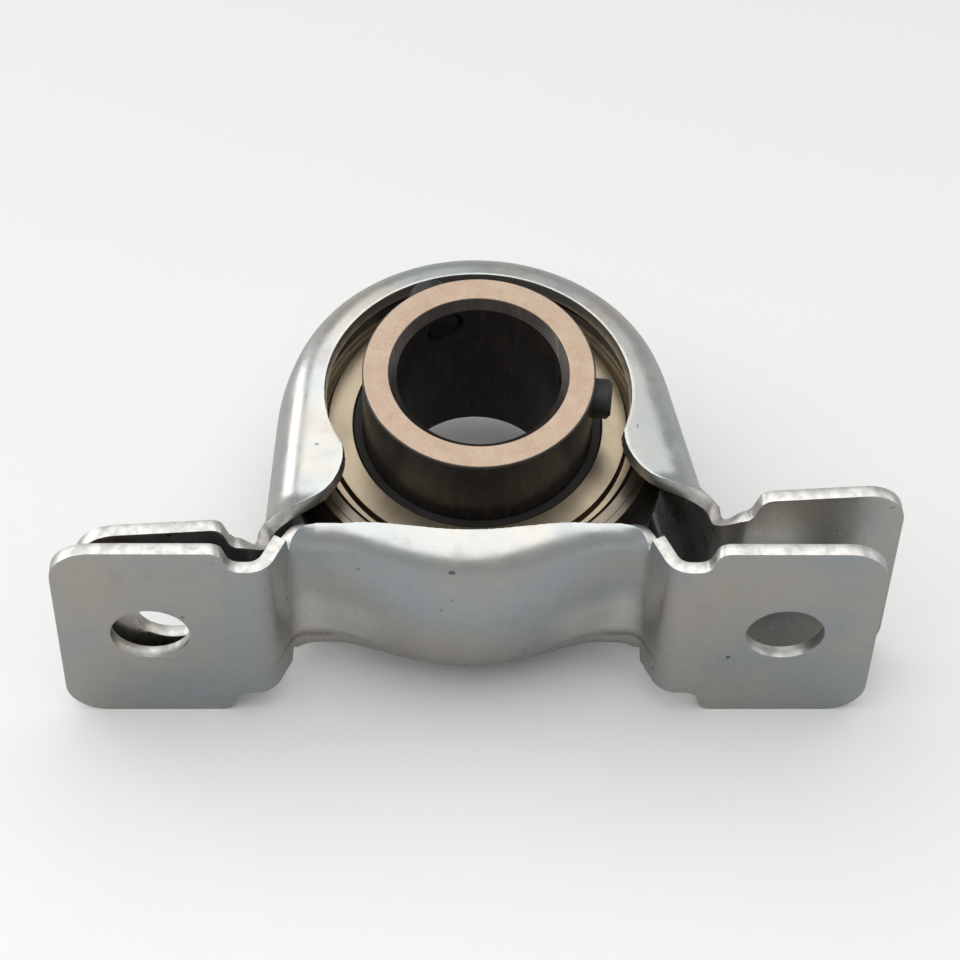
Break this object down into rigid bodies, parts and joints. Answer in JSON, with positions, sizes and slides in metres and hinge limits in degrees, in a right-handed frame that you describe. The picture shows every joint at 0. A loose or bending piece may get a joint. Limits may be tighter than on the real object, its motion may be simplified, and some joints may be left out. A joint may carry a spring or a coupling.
{
  "type": "mounted bearing",
  "caption": "Pressed steel pillow block: two sheet halves hold a self-aligning ball bearing insert with set screws.",
  "frame": {"origin": "centre of the mounting surface, midway between the two bolt holes", "axes": "+X along the feet, +Y from the mounting surface towards the top of the hoop, +Z along the bore towards the set screws"},
  "size_m": [0.1007, 0.0534, 0.034],
  "materials": {
    "zinc_sheet_lower": "zinc plated pressed sheet",
    "zinc_sheet_upper": "zinc plated pressed sheet",
    "bearing_steel": "dark ground steel",
    "ring_steel": "ground face, dark bore and outside",
    "cage_steel": "pressed sheet",
    "ball_steel": "polished",
    "shield_steel": "warm satin sheet",
    "seal_rubber": "matt black rubber",
    "black_steel": "black oxide"
  },
  "bodies": {
    "lower_half": {"lower_housing": "zinc_sheet_lower"},
    "upper_half": {"upper_housing": "zinc_sheet_upper"},
    "insert": {"outer_ring": "bearing_steel", "front_shield": "shield_steel", "rear_shield": "shield_steel", "front_seal": "seal_rubber", "rear_seal": "seal_rubber"},
    "rotor": {"inner_ring": "ring_steel"},
    "ball_row": {"cage_front": "cage_steel", "cage_rear": "cage_steel", "cage_rivets": "cage_steel", "ball_1": "ball_steel", "ball_2": "ball_steel", "ball_3": "ball_steel", "ball_4": "ball_steel", "ball_5": "ball_steel", "ball_6": "ball_steel", "ball_7": "ball_steel", "ball_8": "ball_steel"},
    "screw_1": {"set_screw_1": "black_steel"},
    "screw_2": {"set_screw_2": "black_steel"}
  },
  "joints": [
    {"name": "halves_close", "type": "hinge", "parent": "lower_half", "child": "upper_half", "pos_m": [-0.04186, 0.04621, 0], "axis": [0, 0, 1], "range_deg": [-3.84, 0]},
    {"name": "self_align", "type": "hinge", "parent": "upper_half", "child": "insert", "pos_m": [0.0013, 0.02825, 0], "axis": [1, 0, 0], "range_deg": [-9.4, 0.6]},
    {"name": "ring_spin", "type": "hinge", "parent": "insert", "child": "rotor", "pos_m": [0.0013, 0.02825, 0], "axis": [0, -0.0767, 0.9971], "continuous": true},
    {"name": "cage_spin", "type": "hinge", "parent": "insert", "child": "ball_row", "pos_m": [0.0013, 0.02825, 0], "axis": [0, -0.0767, 0.9971], "continuous": true},
    {"name": "screw_1_travel", "type": "slide", "parent": "rotor", "child": "screw_1", "axis": [0.9945, -0.1042, -0.008], "range_m": [-0.0008, 0.0015]},
    {"name": "screw_2_travel", "type": "slide", "parent": "rotor", "child": "screw_2", "axis": [-0.4067, 0.9109, 0.0701], "range_m": [-0.0008, 0.0015]}
  ],
  "couplings": [
    {"joint": "cage_spin", "follows": "ring_spin", "ratio": 0.3815}
  ]
}
